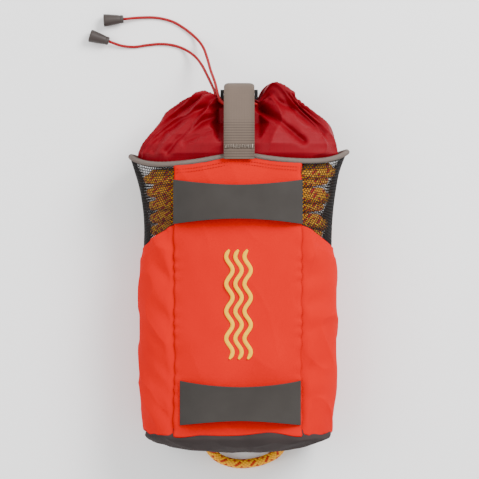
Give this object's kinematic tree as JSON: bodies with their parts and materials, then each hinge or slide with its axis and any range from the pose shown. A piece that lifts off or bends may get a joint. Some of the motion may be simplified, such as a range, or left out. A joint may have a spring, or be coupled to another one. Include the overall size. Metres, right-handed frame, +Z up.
{
  "type": "throw rope bag",
  "caption": "Soft throw rope bag lying on its back, with mesh windows, grab bands, a gathered collar with drawcord and lock, a buckled top strap and a rope loop at its base.",
  "frame": {"origin": "on the floor under the middle of the bag, drawcords and base loop not counted", "axes": "+Y along the bag towards its mouth, +Z up from the floor through the front panel, +X to the right"},
  "size_m": [0.2193, 0.3889, 0.0964],
  "materials": {
    "panel_fabric": "orange-red coated pack cloth, matt, plain weave",
    "mesh": "black open polyester mesh",
    "base_fabric": "dark grey heavy pack cloth, wrinkled",
    "grommet": "black moulded eyelets",
    "piping": "silver-grey corded piping",
    "band": "dark grey rubberised fabric, matt",
    "embroidery": "yellow satin-stitch thread",
    "foam": "closed-cell foam",
    "rope": "yellow braided rope with red tracers",
    "collar_fabric": "deep red ripstop nylon, soft sheen",
    "drawcord": "red braided cord",
    "cord_end": "dark grey moulded plastic",
    "hardware": "black acetal",
    "spring_steel": "spring wire",
    "webbing": "warm grey ribbed nylon webbing"
  },
  "bodies": {
    "bag": {"front_panel": "panel_fabric", "back_panel": "panel_fabric", "left_side_panel": "panel_fabric", "right_side_panel": "panel_fabric", "left_mesh_window": "mesh", "right_mesh_window": "mesh", "base_panel": "base_fabric", "base_grommets": "grommet", "rim_piping": "piping", "upper_grab_band": "band", "lower_grab_band": "band", "embroidered_waves": "embroidery", "foam_float": "foam", "throw_rope": "rope", "rope_base_knots": "rope", "rope_hand_loop": "rope", "base_rope_loop": "rope", "collar": "collar_fabric", "collar_hem": "collar_fabric", "hem_drawcord": "drawcord", "drawcord_upper": "drawcord", "drawcord_lower": "drawcord", "upper_cord_end": "cord_end", "lower_cord_end": "cord_end", "buckle_female": "hardware", "rear_strap": "webbing"},
    "lock": {"cord_lock_body": "hardware", "cord_lock_spring": "spring_steel"},
    "lock_button": {"cord_lock_plunger": "hardware"},
    "buckle_plug": {"buckle_male": "hardware", "closure_strap": "webbing"},
    "left_prong": {"left_prong": "hardware"},
    "right_prong": {"right_prong": "hardware"}
  },
  "joints": [
    {"name": "cord_lock_slide", "type": "slide", "parent": "bag", "child": "lock", "axis": [-1, 0, 0], "range_m": [0, 0.006]},
    {"name": "lock_button_press", "type": "slide", "parent": "lock", "child": "lock_button", "axis": [0, -1, 0], "range_m": [0, 0.003], "stiffness_N_per_m": 300},
    {"name": "buckle_release", "type": "slide", "parent": "bag", "child": "buckle_plug", "axis": [0, 1, 0], "range_m": [0, 0.022]},
    {"name": "left_prong_press", "type": "hinge", "parent": "buckle_plug", "child": "left_prong", "pos_m": [-0.0095, 0.138, 0.012], "axis": [0, 0, 1], "range_deg": [0, 9], "stiffness_Nm_per_rad": 0.05},
    {"name": "right_prong_press", "type": "hinge", "parent": "buckle_plug", "child": "right_prong", "pos_m": [0.0115, 0.138, 0.012], "axis": [0, 0, -1], "range_deg": [0, 9], "stiffness_Nm_per_rad": 0.05}
  ]
}
